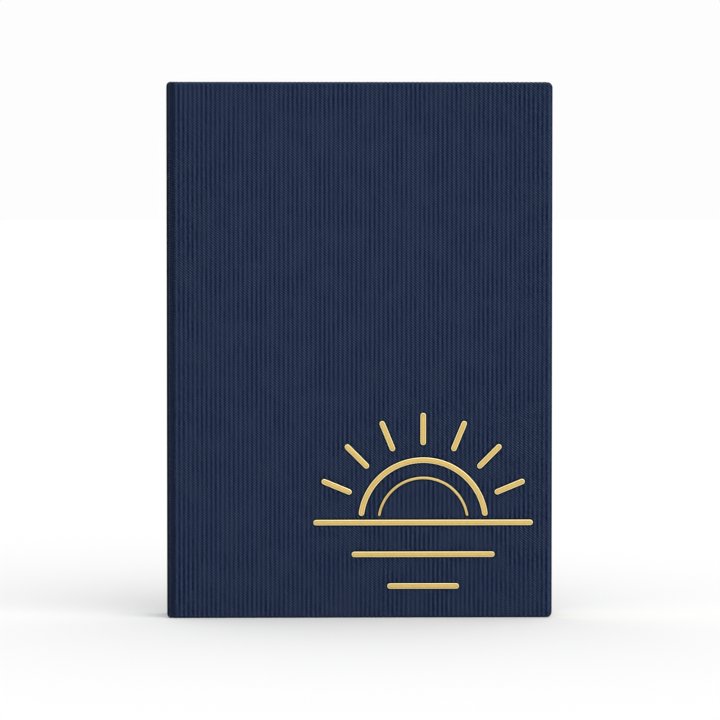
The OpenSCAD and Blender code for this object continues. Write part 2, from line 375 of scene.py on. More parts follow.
# Silk wound over a cord: soft sheen, navy and cream turns by the piece's own turn mark
def woundSilk():
    look = silkLook
    material, tree = newMaterial("woundSilk")
    turn = addNode(tree, "Attribute", {"attribute_name": "creamTurn"}).outputs["Fac"]
    place = addNode(tree, "TexCoord").outputs["Object"]
    strands = addNode(tree, "TexNoise",
                      links={"Vector": place, "Scale": 1 / (look["strand"] * mm), "Detail": 2.0})
    cream = addNode(tree, "Mix", rgba, {0: strands, 6: look["cream"], 7: look["creamShade"]})
    colour = addNode(tree, "Mix", rgba, {0: turn, 6: look["navy"], 7: cream.outputs[2]})
    bump = addNode(tree, "Bump",
                   links={"Height": strands, "Distance": look["strandDeep"] * mm, "Strength": 0.5})
    finishMaterial(tree, Base_Color=colour.outputs[2], Roughness=0.45, Sheen_Weight=0.3, Sheen_Roughness=0.3,
                   Normal=bump)
    return material


bookCloth = wovenBookCloth("wovenBookCloth")
rimShadeCloth = wovenBookCloth("rimShadeBookCloth", pressed=0.95)   # nearly black all over: painted shade round the foil's strokes
goldFoil = stampedGoldFoil()
writingPaper = ruledWritingPaper()
# Smooth wove paper, grey board with flecks, brown paper with long fibres and waxed thread with a dull shine
endpaper = plainStuff("woveEndpaper", ("#f0e9d8", "#ece4d0"), 0.7, 0.9, 0.01)
greyboard = plainStuff("pressedGreyboard", ("#8f8b83", "#a8a399"), 0.9, 0.95, 0.03)
kraft = plainStuff("machineKraftPaper", ("#a8835a", "#bc9669"), 1.2, 0.85, 0.01, stretch=(1, 1, 0.2))
gauze = starchedGauze()
linen = plainStuff("waxedLinenThread", ("#e2d9c0", "#cfc4a6"), 0.2, 0.6, 0.02, stretch=(1, 1, 0.3))
silk = woundSilk()

print("gold mark")

goldMark = {
    "lineWide": 2.1, "fineWide": 0.9,
    "sunRadius": 24.5, "fineIn": 7.0,
    "sunGap": 1.6,           # between the horizon and the ends of the sun's lines
    "rayFrom": 31.5, "rayStep": 22.5, "rays": 7,
    "water": ((12.5, 27.0), (25.0, 13.0)),   # each line's drop below the horizon, and half its length
    "sunPoints": 90, "finePoints": 70, "capPoints": 11,
    "foilTop": 0.04,         # the foil's face below the cover's face
    "foilUnder": 0.3,
    "shoulder": 0.32,        # width of its rounded shoulder
    "shoulderDrop": 0.09,
    "rimOut": (-0.1, 0.02, 0.21, 0.42, 0.56, 0.42, -0.1),    # the pressed border, out from the foil's edge
    "rimDepth": (0.16, 0.15, 0.1, 0.07, 0.25, 0.4, 0.4),     # and below the cover's face
}
markX = (foilLow[0] + foilHigh[0]) / 2
rayTo = (foilHigh[0] - foilLow[0] - goldMark["lineWide"]) / 2
horizonZ = foilLow[2] + goldMark["lineWide"] / 2 + goldMark["water"][1][0]


# A straight stroke: its two ends, with its left-hand normal and its tangent at each
def straightStroke(start, end):
    start, end = np.array(start, float), np.array(end, float)
    along = (end - start) / np.linalg.norm(end - start)
    side = np.array([-along[1], along[0]])
    return np.stack([start, end]), np.stack([side, side]), np.stack([along, along])


# The same for a round stroke of the sun, from just above the horizon over the top to the other side: count
# points at radius times the cosine and sine of equal angles
def roundStroke(radius, wide, count):
    first = math.asin((goldMark["lineWide"] / 2 + goldMark["sunGap"] + wide / 2) / radius)
    a = np.linspace(first, math.pi - first, count)
    out = np.stack([np.cos(a), np.sin(a)], -1)
    return radius * out, -out, np.stack([-np.sin(a), np.cos(a)], -1)


# Every stroke with its width: the sun's two arcs, the horizon, the level lines of the water under it, and
# the rays at equal angles over it
def markStrokes():
    wide, fine, radius = goldMark["lineWide"], goldMark["fineWide"], goldMark["sunRadius"]
    strokes = [(roundStroke(radius, wide, goldMark["sunPoints"]), wide),
               (roundStroke(radius - goldMark["fineIn"], fine, goldMark["finePoints"]), fine),
               (straightStroke((-rayTo, 0), (rayTo, 0)), wide)]
    for drop, half in goldMark["water"]:
        strokes.append((straightStroke((-half, -drop), (half, -drop)), wide))
    for i in range(goldMark["rays"]):
        a = math.radians(goldMark["rayStep"] * (i + 1))
        ray = np.array([math.cos(a), math.sin(a)])
        strokes.append((straightStroke(goldMark["rayFrom"] * ray, rayTo * ray), wide))
    return strokes


strokes = markStrokes()


# Distance in the cover's plane from each place to the nearest stroke's edge, negative inside it: from the
# nearest point of a straight stroke, and from a round one's circle or, below its ends, from the nearer end
def edgeDistance(x, z):
    x, z = x - markX, z - horizonZ
    nearest = np.full(x.shape, 99.0)
    for (line, _, _), wide in strokes:
        if len(line) == 2:
            start, d = line[0], line[1] - line[0]
            t = np.clip(((x - start[0]) * d[0] + (z - start[1]) * d[1]) / (d @ d), 0, 1)
            away = np.hypot(x - start[0] - t * d[0], z - start[1] - t * d[1])
        else:
            circle = np.abs(np.hypot(x, z) - np.linalg.norm(line[0]))
            ends = np.minimum(*[np.hypot(x - end[0], z - end[1]) for end in (line[0], line[-1])])
            away = np.where(z < line[0, 1], ends, circle)
        nearest = np.minimum(nearest, away - wide / 2)
    return nearest


# Sweeps a cross-section round a stroke with round ends. Ring k is the stroke's outline at offset[k] from its
# centre line and depth[k] below the cover's face; closed joins the last ring to the first.
def strokeRings(stroke, offset, depth, closed):
    line, side, along = stroke
    caps = goldMark["capPoints"]
    a = np.linspace(0, math.pi, caps + 2)[1:-1, None]
    centre = np.concatenate([line, np.repeat(line[-1:], caps, 0), line[::-1], np.repeat(line[:1], caps, 0)])
    spoke = np.concatenate([side, side[-1] * np.cos(a) + along[-1] * np.sin(a), -side[::-1],
                            -side[0] * np.cos(a) - along[0] * np.sin(a)])
    centre, spoke = np.concatenate([centre, centre[:1]]), np.concatenate([spoke, spoke[:1]])
    flatPlaces = centre[None] + np.array(offset)[:, None, None] * spoke[None]
    y = np.repeat(-halfThick + np.array(depth)[:, None], len(centre), 1)
    points = np.stack([flatPlaces[..., 0] + markX, y, flatPlaces[..., 1] + horizonZ], -1)
    if closed:
        points = np.concatenate([points, points[:1]])
    return points


# Joins several ring grids into one mesh's points and faces
def joinGrids(grids):
    points, faces = [], []
    for grid in grids:
        faces += gridQuads(grid.shape[0], grid.shape[1], sum(len(p) for p in points))
        points.append(grid.reshape(-1, 3))
    return np.concatenate(points), faces


# The foil's strokes: flat on top, down a quarter-ellipse shoulder to the edge, and closed below.
# acrossStroke is 1 at the edge and falls by 1 over 1 mm inwards, or over the stroke's half width where that
# is less.
def foilPiece():
    grids, across = [], []
    lean = np.linspace(0, math.pi / 2, 5)[::-1]
    for stroke, wide in strokes:
        half = wide / 2
        shoulder = min(goldMark["shoulder"], 0.6 * half)
        edgeOffset = half - shoulder + shoulder * np.sin(lean)
        edgeDepth = goldMark["foilTop"] + goldMark["shoulderDrop"] * (1 - np.cos(lean))
        offset = np.concatenate([[0, half], edgeOffset, [half * 0.3, 0]])
        depth = np.concatenate([[goldMark["foilUnder"]] * 2, edgeDepth, [goldMark["foilTop"]] * 2])
        grid = strokeRings(stroke, offset, depth, False)
        grids.append(grid)
        share = 1 - (half - offset) / min(half, 1.0)
        across.append(np.repeat(share[:, None], grid.shape[1], 1).ravel())
    points, faces = joinGrids(grids)
    marks = {"acrossStroke": np.concatenate(across)}
    return makePiece("gold_foil_mark", points, faces, goldFoil, marks=marks, sharpDeg=60)


# The cloth round each stroke that the hot die has pressed flat, coloured nearly black as painted shade: its
# section starts under the foil's edge, rises outwards to the cover's face and comes back below
def rimPiece():
    grids = []
    for stroke, wide in strokes:
        offset = wide / 2 + np.array(goldMark["rimOut"])
        grids.append(strokeRings(stroke, offset, goldMark["rimDepth"], True))
    points, faces = joinGrids(grids)
    marks = {"paintedLightTone": np.zeros(len(points))}
    return makePiece("pressed_rim", points, faces, rimShadeCloth, flat=points[:, [0, 2]], marks=marks)


foil = foilPiece()
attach(foil, "front_cover")
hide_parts("cover_foil")
rim = rimPiece()
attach(rim, "front_cover")

print("case cloth")

caseCloth = {
    "cornerRadius": 2.3,     # fore-edge corners
    "spineEndRadius": 1.7,   # spine's head and tail ends, seen from the front
    "spineCorner": 0.9,      # the spine's two long edges
    "roll": 0.45,            # cloth turning over a board's edge
    "innerRoll": 0.3,
    "turnIn": 15.0,
    "grooveFrom": 1.35,      # from the groove's wall on the spine's side to the board
    "grooveDeep": 1.05, "grooveFillet": 0.3,
    "ribDeep": 0.15,
    "ribPhases": (0.0, 0.1, 0.25, 0.5, 0.75, 0.9),
    # Where ribs fade: along the spine from its corner, past the joint's edge and in from the fore-edge
    "spineFade": (0.2, 1.0), "jointFade": (-0.1, 0.3), "foreFade": (0.45, 0.8),
    "trench": 0.24,          # depth of the cloth under the foil
    "trenchEdge": (0.6, 1.1),    # it ends between these distances from a stroke's edge
    "edgeRows": (0.0, 0.3, 0.55, 0.85), "endRow": 3.4,   # rows in from the tail's and the head's edge
    "backRows": (8.0, 15.0, 40.0, 70.0, 105.0, 140.0, 170.0, 195.0, 202.0),
    "frontRows": (6.0, 92.0, 105.0, 120.0, 140.0, 160.0, 180.0, 196.0),
    "markRows": (9.6, 0.68), "besideLine": (0.35, 0.62, 1.1),
}

# Painted light and shade on the cloth, above 0 a painted highlight and below 0 painted shade: by the distance
# from the spine's face and the fore-edge, at the rows by the tail and the head, and round the boards' edges
clothPaintedLight = {
    "fromSpine": ((0.0, 0.4, 0.85, 1.15, 1.5, 2.0, 2.7, 3.0),
                  (-0.6, -0.95, -0.85, -0.1, -0.4, -0.25, 0.0, 0.0)),
    "fromForeEdge": ((0.5, 0.8, 1.0, 1.3), (0.0, 0.4, 0.8, 0.0)),
    "tailRows": (-0.9, -0.5, 0.4, 0.0),
    "headRows": (0.0, 0.0, 0.4, 0.2),
    "overEdge": ((18, 0.5), (36, -0.1), (54, -0.6), (72, -0.9), (90, -0.9)),     # degrees round, and tone: a painted highlight where the edge starts to turn, then painted shade
    "edgeEnd": -0.45, "innerRoll": -0.3,
}


# Places along a length where each rib of that pitch is sampled
def ribPlaces(length, pitch):
    count = int(length / pitch) + 1
    places = (np.arange(count)[:, None] + np.array(caseCloth["ribPhases"])).ravel() * pitch
    return np.append(places[places < length - 0.05], length)


# The case's outline across the spine, joint groove and board, as arcs and straights from the spine's middle
# to the fore-edge: place, outward normal, share of rib height, run of cloth that the ribs count by, place of
# the cloth's inner face and whether it is the joint
def caseProfile():
    c = caseCloth
    small, fillet, big = clothThick, c["grooveFillet"], c["spineCorner"]
    spineX, grooveX = spineLow[0], boardLow[0] - c["grooveFrom"]
    edgeX, foreX = boardLow[0] - clothThick, coverHigh[0]
    faceY, floorY = -halfThick, -halfThick + c["grooveDeep"]
    rows = []

    # Start plus t (end - start), with t the places as a share of the last
    def straight(start, end, normal, places):
        start, end = np.array(start), np.array(end)
        t = (places / places[-1])[:, None]
        rows.append(np.hstack([start + t * (end - start), np.repeat([normal], len(t), 0)]))

    # Centre plus radius times the cosine and sine of equal angles, the first left out
    def bend(centre, radius, fromDeg, toDeg, count, hollow=False):
        a = np.radians(np.linspace(fromDeg, toDeg, count + 1)[1:])
        out = np.stack([np.cos(a), np.sin(a)], -1)
        rows.append(np.hstack([np.array(centre) + radius * out, -out if hollow else out]))

    spineHalf = halfThick - big
    halves, quarters = np.array([0.5, 1.0]), np.array([0.25, 0.5, 0.75, 1.0])
    straight((spineX, 0), (spineX, -spineHalf), (-1, 0), ribPlaces(spineHalf, clothLook["ribPitch"]))
    bend((spineX + big, -spineHalf), big, 180, 270, 9)
    straight((spineX + big, faceY), (grooveX - small, faceY), (0, -1), halves)
    bend((grooveX - small, faceY + small), small, 270, 360, 5)
    straight((grooveX, faceY + small), (grooveX, floorY - fillet), (1, 0), halves)
    bend((grooveX + fillet, floorY - fillet), fillet, 180, 90, 5, hollow=True)
    straight((grooveX + fillet, floorY), (edgeX - fillet, floorY), (0, -1), quarters)
    bend((edgeX - fillet, floorY - fillet), fillet, 90, 0, 5, hollow=True)
    straight((edgeX, floorY - fillet), (edgeX, faceY + small), (-1, 0), halves)
    boardFrom = sum(len(r) for r in rows)
    bend((edgeX + small, faceY + small), small, 180, 270, 5)
    faceStart, faceEnd = edgeX + small, foreX - c["cornerRadius"]
    ribs = ribPlaces(faceEnd - faceStart, clothLook["ribPitch"])[1:]
    straight((faceStart, faceY), (faceEnd, faceY), (0, -1), ribs)
    # The last columns crowd together as the rounded corner turns
    a = np.linspace(0, math.pi / 2, 13)[1:, None]
    last = np.hstack([faceEnd + (c["cornerRadius"] - c["roll"]) * np.sin(a), np.full_like(a, faceY)])
    rows.append(np.hstack([last, np.repeat([(0, -1)], len(a), 0)]))

    line = np.vstack(rows)
    place, normal = line[:, :2], line[:, 2:]
    x, y = place.T
    run = np.concatenate([[0], np.cumsum(np.linalg.norm(np.diff(place, axis=0), axis=1))])
    # Ribs count from the spine's middle on the spine and from the joint on the board
    onSpine = smooth(y + spineHalf, *c["spineFade"]) * (x < spineX + 0.01)
    onBoard = smooth(x - faceStart, *c["jointFade"]) * smooth(foreX - x, *c["foreFade"])
    onBoard[:boardFrom] = 0
    ribShare = np.clip(onSpine + onBoard, 0, 1)
    ribRun = np.where(np.arange(len(run)) < boardFrom, run, x - faceStart)
    # The inner face lies flat under the groove and the board, and slopes to 0 at the spine's middle
    jointFrom = np.flatnonzero(x > grooveX + 0.001)[0]
    joint = (np.arange(len(run)) >= jointFrom) & (x < faceStart - 0.001)
    lipY = floorY + clothThick
    innerX = np.where(x < grooveX + 0.01, grooveX, x)
    innerY = np.full(len(run), -(halfThick - (boardHigh[1] - boardLow[1]) - 2 * clothThick))
    innerY[:jointFrom] = lipY * run[:jointFrom] / run[jointFrom - 1]
    innerY[joint] = lipY
    return place, normal, ribShare, ribRun, np.stack([innerX, innerY], -1), joint


# Height of the cloth's face at its ribs: minus depth times (1 - |sine|) ^ 1.4, so 0 on a rib's crown and
# down in a sharp valley between two
def ribHeight(ribRun, share):
    crown = np.abs(np.sin(math.pi * ribRun / clothLook["ribPitch"]))
    return -caseCloth["ribDeep"] * (1 - crown) ** 1.4 * share


# Height of the spine's rounded tail above the tail's plane: a quarter circle, r - sqrt(r^2 - into^2)
def endHeight(x):
    r = caseCloth["spineEndRadius"]
    into = np.clip(spineLow[0] + r - x, 0, r)
    return r - np.sqrt(r * r - into * into)


# Painted shade along the spine's corner, the strip beside it and the joint groove, straight between its given
# places
def spinePaintedShade(place):
    tone = np.interp(place[:, 0] - spineLow[0], *clothPaintedLight["fromSpine"])
    return np.where(place[:, 1] > -halfThick + caseCloth["spineCorner"] + 0.3, 0.0, tone)


# Heights of the face's rows over each column, where tail is the lowest row's. The front's rows lie close
# beside the mark's level lines, and evenly over the rest of the mark.
def faceRows(side, tail):
    c = caseCloth
    middle = np.array(c["backRows"])
    if side > 0:
        level = [horizonZ - drop for drop in (0.0, *[drop for drop, _ in goldMark["water"]])]
        beside = goldMark["lineWide"] / 2 + np.array(c["besideLine"])
        close = np.concatenate([np.concatenate([z - beside, z + beside]) for z in level])
        first, step = c["markRows"]
        even = np.arange(first, foilHigh[2] + 2.0, step)
        even = even[np.min(np.abs(even[:, None] - close[None]), axis=1) > 0.2]
        middle = np.sort(np.concatenate([c["frontRows"], even, close]))
    steps = np.array(c["edgeRows"])[:, None]
    middle = np.concatenate([[c["endRow"]], middle, [bookHeight - c["endRow"]]])[:, None]
    return np.concatenate([tail + steps, np.repeat(middle, len(tail), 1), bookHeight - (tail + steps)[::-1]])


# Where the turned-in cloth ends on the inner face: each border point moves to the rectangle turnIn in from
# the tail, the fore-edge and the head
def turnInEnd(last, outX, outZ):
    boardX, foreX, turnIn = boardLow[0], coverHigh[0], caseCloth["turnIn"]
    squeezeX = (foreX - boardX - turnIn) / (foreX - boardX)
    squeezeZ = (bookHeight - 2 * turnIn) / bookHeight
    atForeEdge = np.abs(outX) > 0.7071
    x = np.where(last[:, 0] > boardX, boardX + (last[:, 0] - boardX) * squeezeX, last[:, 0])
    x = np.where(atForeEdge, foreX - turnIn, x)
    z = np.where(atForeEdge, turnIn + last[:, 2] * squeezeZ, np.where(outZ < 0, turnIn, bookHeight - turnIn))
    return np.stack([x, last[:, 1], z], -1)


# Half of the case's cloth. Columns follow the profile, rows climb from tail to head, and rings carry the
# border over the edges and in over the boards' inner faces. side is 1 for the front and -1 for the back.
def clothPiece(name, side):
    c = caseCloth
    place, normal, ribShare, ribRun, inner, joint = caseProfile()
    columns = len(place)
    thick = np.linalg.norm(inner - place, axis=1)
    roll = np.minimum(c["roll"], 0.45 * thick)
    # The face starts above the tail by the corner's arc, or else by the spine's rounded end and the roll
    radius, cornerAt = c["cornerRadius"], coverHigh[0] - c["cornerRadius"]
    turn = np.arcsin(np.clip((place[:, 0] - cornerAt) / (radius - c["roll"]), 0, 1))
    tail = np.where(place[:, 0] > cornerAt, radius - (radius - c["roll"]) * np.cos(turn),
                    endHeight(place[:, 0]) + roll)
    z = faceRows(side, tail)
    rowCount = len(z)
    rib = ribHeight(ribRun, ribShare)
    height = np.repeat(rib[None], rowCount, 0)
    if side > 0:
        gap = edgeDistance(np.repeat(place[None, :, 0], rowCount, 0), z)
        pressed = 1 - smooth(gap, *c["trenchEdge"])
        height = height * (1 - pressed) - c["trench"] * pressed * (place[:, 0] > boardLow[0])
    x = place[None, :, 0] + normal[None, :, 0] * height
    y = place[None, :, 1] + normal[None, :, 1] * height
    sheet = np.stack([x, y, z], -1)
    edge = len(c["edgeRows"])
    # Painted light and shade: shade along the spine and groove, a highlight line near the fore-edge, and
    # shade and highlight rows at the tail and head
    tone = np.repeat(spinePaintedShade(place)[None], rowCount, 0)
    tone[edge:-edge] += np.interp(coverHigh[0] - place[:, 0], *clothPaintedLight["fromForeEdge"])
    tone[:edge] += np.array(clothPaintedLight["tailRows"])[:, None] * ribShare
    tone[-edge:] += np.array(clothPaintedLight["headRows"])[:, None] * ribShare
    flat = np.stack([np.repeat(ribRun[None], rowCount, 0), z], -1)
    foreZ = z[1:-1, -1]

    # The border: tail from spine to fore-edge, up the fore-edge, and back along the head
    def border(tailRow, foreColumn, headRow):
        return np.concatenate([tailRow, foreColumn, headRow[::-1]])

    # The same for the columns' values, of which the fore-edge keeps the last
    def around(values):
        return border(values, np.repeat(values[-1:], len(foreZ), 0), values)

    zeros, ones = np.zeros(len(foreZ)), np.ones(len(foreZ))
    outX = border(np.sin(turn), ones, np.sin(turn))
    outZ = border(-np.cos(turn), zeros, np.cos(turn))
    borderZ = border(tail, foreZ, bookHeight - tail)
    borderRib = border(rib * np.cos(turn), zeros, rib * np.cos(turn))
    borderFlat = border(flat[0], flat[1:-1, -1], flat[-1])
    endSign = border(np.ones(columns), zeros, -np.ones(columns))
    borderPlace, borderNormal = around(place), around(normal)
    borderThick, borderRoll = around(thick), around(roll)
    inward = (around(inner) - borderPlace) / borderThick[:, None]
    rings, ringTone, ringFlat = [], [], []

    # The border moved out by out and inwards through the cloth and board by depth, with its ribs leaning
    # over by lean and the spine's rounded ends kept
    def ring(out, depth, lean, toneValue):
        xy = borderPlace + inward * depth[:, None]
        lift = endSign * (endHeight(xy[:, 0]) - endHeight(borderPlace[:, 0]))
        px = xy[:, 0] + outX * out + borderRib * borderNormal[:, 0] * math.cos(lean)
        py = xy[:, 1] + borderRib * borderNormal[:, 1] * math.cos(lean)
        pz = borderZ + outZ * (out + borderRib * math.sin(lean)) + lift
        rings.append(np.stack([px, py, pz], -1))
        ringTone.append(np.full(len(borderZ), toneValue))
        ringFlat.append(borderFlat + np.stack([outX, outZ], -1) * (out + depth)[:, None])

    # The rings round the edges carry painted light: a highlight where the edge starts to turn, shade further
    # round and on the inner roll
    for degrees, toneValue in clothPaintedLight["overEdge"]:
        lean = math.radians(degrees)
        ring(borderRoll * math.sin(lean), borderRoll * (1 - math.cos(lean)), lean, toneValue)
    innerRoll = np.minimum(c["innerRoll"], 0.4 * borderThick)
    ring(borderRoll, borderThick - innerRoll, math.pi / 2, clothPaintedLight["edgeEnd"])
    for lean in np.radians((30, 60, 90)):
        ring(borderRoll - innerRoll * (1 - math.cos(lean)), borderThick - innerRoll * (1 - math.sin(lean)),
             math.pi / 2 + lean, clothPaintedLight["innerRoll"])
    # Onwards over the inner face to where the turned-in cloth ends, then down its cut edge
    goal = turnInEnd(rings[-1], outX, outZ)
    under = goal.copy()
    under[:, :2] -= inward * np.where(around(joint), 0.02, clothThick - 0.01)[:, None]
    rings += [goal, under]
    ringTone += [0 * borderZ] * 2
    ringFlat += [goal[:, [0, 2]]] * 2

    # Faces: the outer grid, the rings, the floor inside the turned-in cloth and the cut at the spine's middle
    grid = np.arange(rowCount * columns).reshape(rowCount, columns)
    firstRing = border(grid[0], grid[1:-1, -1], grid[-1])
    length = len(firstRing)
    index = np.vstack([firstRing, grid.size + np.arange(len(rings) * length).reshape(len(rings), length)])
    quads = np.stack([index[:-1, :-1], index[1:, :-1], index[1:, 1:], index[:-1, 1:]], -1)
    faces = gridQuads(rowCount, columns) + quads.reshape(-1, 4).tolist()
    lastRing = index[-1]
    bottom, top = lastRing[:columns], lastRing[-columns:][::-1]
    faces += np.stack([bottom[:-2], bottom[1:-1], top[1:-1], top[:-2]], -1).tolist()
    faces.append([bottom[-2], *lastRing[columns - 1:length - columns + 1].tolist(), top[-2]])
    faces.append([*grid[:, 0].tolist(), *index[1:, -1].tolist(), *index[1:, 0][::-1].tolist()])
    points = np.concatenate([sheet.reshape(-1, 3), *rings])
    points[:, 1] *= side
    tones = np.concatenate([tone.ravel(), *ringTone])
    flats = np.concatenate([flat.reshape(-1, 2), *ringFlat])
    # Both halves are one cloth, so its twill runs the same way round the spine
    flats[:, 0] *= side
    piece = makePiece(name, points, faces, bookCloth, flat=flats, marks={"paintedLightTone": tones})
    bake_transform(piece)
    return piece


frontCloth = clothPiece("case_cloth_front", 1)
backCloth = clothPiece("case_cloth_back", -1)
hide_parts("front_cover_cloth", "spine_cloth")
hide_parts("back_cover_cloth")
for cloth in (frontCloth, backCloth):
    print(cloth.name, sum(len(p.vertices) - 2 for p in cloth.data.polygons), "triangles")

print("endpapers")

paperSheet = {
    "thick": 0.15,
    "foldClear": 0.04,       # from the folds to a sheet's own fold
    "stepWide": 0.9,         # where a pastedown dips inside the turned-in cloth
    "stepPlaces": np.linspace(-0.6, 1, 7),
    "hingePlaces": 16, "boardPlaces": (-60, -30, 0, 30), "heights": (60, 105, 150),
    "bendWide": 5.0, "bendPlaces": 18, "leafPlaces": (-40, 0, 40),
}
turnEndX = coverHigh[0] - caseCloth["turnIn"]


# A closed sheet of endpaper: y is its middle at each place of the grid, with half its thickness either side
def sheetPiece(name, x, z, y):
    gridX, gridZ = np.meshgrid(x, z, indexing="ij")
    half = paperSheet["thick"] / 2
    layers = [np.stack([gridX, y + s * half, gridZ], -1) for s in (-1, 1)]
    rows, columns = gridX.shape
    near = np.arange(rows * columns).reshape(rows, columns)
    far = near + rows * columns
    faces = gridQuads(rows, columns) + gridQuads(rows, columns, rows * columns)
    for a, b in ((near[0], far[0]), (near[-1], far[-1]), (near[:, 0], far[:, 0]), (near[:, -1], far[:, -1])):
        faces += np.stack([a[:-1], a[1:], b[1:], b[:-1]], -1).tolist()
    points = np.concatenate([layer.reshape(-1, 3) for layer in layers])
    return makePiece(name, points, faces, endpaper, flat=points[:, [0, 2]], sharpDeg=60)


# The half of an endpaper that is glued to the board: it lies over the turned-in cloth, dips inside it by a
# smooth step, and at the joint comes up to the first leaf's shoulder by another
def pastedownPiece(name, side, cover):
    p = paperSheet
    step, inset = p["stepWide"], caseCloth["turnIn"]
    band = p["stepPlaces"] * step
    hinge = np.linspace(foldX + p["foldClear"], boardLow[0] + 0.6, p["hingePlaces"])
    x = np.concatenate([hinge, p["boardPlaces"], turnEndX + band, [pasteHigh[0]]])
    z = np.concatenate([[pasteLow[2]], (inset - band)[::-1], p["heights"], bookHeight - inset + band,
                        [pasteHigh[2]]])
    gridX, gridZ = np.meshgrid(x, z, indexing="ij")
    fromMiddle, turnEndZ = np.abs(gridZ - bookHeight / 2), bookHeight / 2 - inset
    over = np.maximum(smooth(gridX, turnEndX - 0.5 * step, turnEndX + 0.5 * step),
                      smooth(fromMiddle, turnEndZ - 0.5 * step, turnEndZ + 0.5 * step))
    half = p["thick"] / 2
    raised, lowered = pasteHigh[1] - half, pasteLow[1] + half
    glued = lowered + (raised - lowered) * over
    shoulder = flyLow[1] - 0.02
    y = shoulder + (glued - shoulder) * smooth(gridX, foldX, boardLow[0] + 0.2)
    piece = sheetPiece(name, x, z, y * side)
    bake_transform(piece)
    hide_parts(cover.replace("cover", "pastedown"))


# The free half of an endpaper, level, and tipped along its fold to the first leaf
def flyleafPiece(name, side, body):
    p = paperSheet
    fold = np.linspace(foldX + p["foldClear"], foldX + p["bendWide"], p["bendPlaces"])
    x = np.concatenate([fold, p["leafPlaces"], [flyHigh[0]]])
    z = np.linspace(flyLow[2], flyHigh[2], 4)
    y = np.full((len(x), len(z)), (flyLow[1] + flyHigh[1]) / 2 * side)
    piece = sheetPiece(name, x, z, y)
    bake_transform(piece)
    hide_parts(body)


pastedownPiece("endpaper_front_pasted", 1, "front_cover")
pastedownPiece("endpaper_back_pasted", -1, "back_cover")
flyleafPiece("endpaper_front_free", 1, "front_flyleaf")
flyleafPiece("endpaper_back_free", -1, "back_flyleaf")

print("sections")

sewnSection = {
    "count": 12,
    "sheets": 8,             # folded sheets, so twice as many leaves
    "air": 0.006,            # between two leaves
    "trim": 0.025,           # how unevenly the guillotine leaves them
    "mostTone": 0.45,        # how much warmer one sheet's paper is than another's
    "bendFrom": 1.0, "bendTo": 12.0, "bendPlaces": 14,
    "foldPlaces": 9,
}


# One folded sheet as a closed outline in the book's cross-section: out along one leaf, round the fold's half
# circle and back along the other, then the same inside at the paper's thickness
def foldedSheet(low, thick, depth, paper, foreX, stations):
    r = thick / 2
    a = np.linspace(-math.pi / 2, math.pi / 2, sewnSection["foldPlaces"])

    # The outline at into from the section's outer face
    def layer(into):
        near = np.stack([stations[::-1], np.full(len(stations), low + into)], -1)
        fold = np.stack([foldX + r - (r - into) * np.cos(a), low + r + (r - into) * np.sin(a)], -1)
        far = np.stack([stations, np.full(len(stations), low + thick - into)], -1)
        near[0, 0], far[-1, 0] = foreX
        return np.concatenate([near, fold, far])

    return np.concatenate([layer(depth), layer(depth + paper)[::-1]])


# A sewn section: folded sheets one inside the next, each its outline carried straight up from tail to head,
# with its edges trimmed a little unevenly
def sectionPiece(node, body):
    s = sewnSection
    low, high = cornersOf(node)
    thick = high[1] - low[1]
    pitch = thick / (2 * s["sheets"])
    moving = body != "page_block"
    bendX = np.linspace(foldX + thick / 2 + 0.01, foldX + s["bendTo"] + 0.5, s["bendPlaces"] if moving else 2)
    stations = np.append(bendX, high[0])
    points, faces, tones = [], [], []
    for i in range(s["sheets"]):
        fore = high[0] + draw.uniform(-1, 0.2, 2) * s["trim"]
        outline = foldedSheet(low[1], thick, i * pitch + s["air"] / 2, pitch - s["air"], fore, stations)
        ends = (low[2], high[2]) + draw.uniform(-1, 1, 2) * s["trim"]
        rows = [np.column_stack([outline, np.full(len(outline), z)]) for z in ends]
        first = sum(len(p) for p in points)
        count = len(outline)
        ring = np.arange(count)
        after = (ring + 1) % count
        faces += (first + np.stack([ring, after, after + count, ring + count], -1)).tolist()
        faces += [(first + ring[::-1]).tolist(), (first + ring + count).tolist()]
        points.append(np.concatenate(rows))
        tones.append(np.full(2 * count, draw.uniform(0, s["mostTone"])))
    points = np.concatenate(points)
    flat = np.column_stack([points[:, 0] - foldX, points[:, 2] - low[2]])
    marks = {"leafTone": np.concatenate(tones)}
    piece = makePiece(node + "_leaves", points, faces, writingPaper, flat=flat, marks=marks, sharpDeg=45)
    if moving:
        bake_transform(piece)
    else:
        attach(piece, "page_block")
    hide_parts(node)


for number in range(sewnSection["count"]):
    node = f"section_{number + 1:02d}"
    sectionPiece(node, node if node in frame["bodies"] else "page_block")

print("headbands")

headband = {
    "windings": 38, "perWinding": 6, "around": 20,
    "windingProud": 0.06,    # a share of the cord's radius
    "turnsOfCream": 2,
    "lean": 0.12, "tape": 0.15,
}


# The eight corners of a box, X slowest and Z fastest
def boxCorners(xs, ys, zs):
    return np.stack(np.meshgrid(xs, ys, zs, indexing="ij"), -1).reshape(-1, 3)


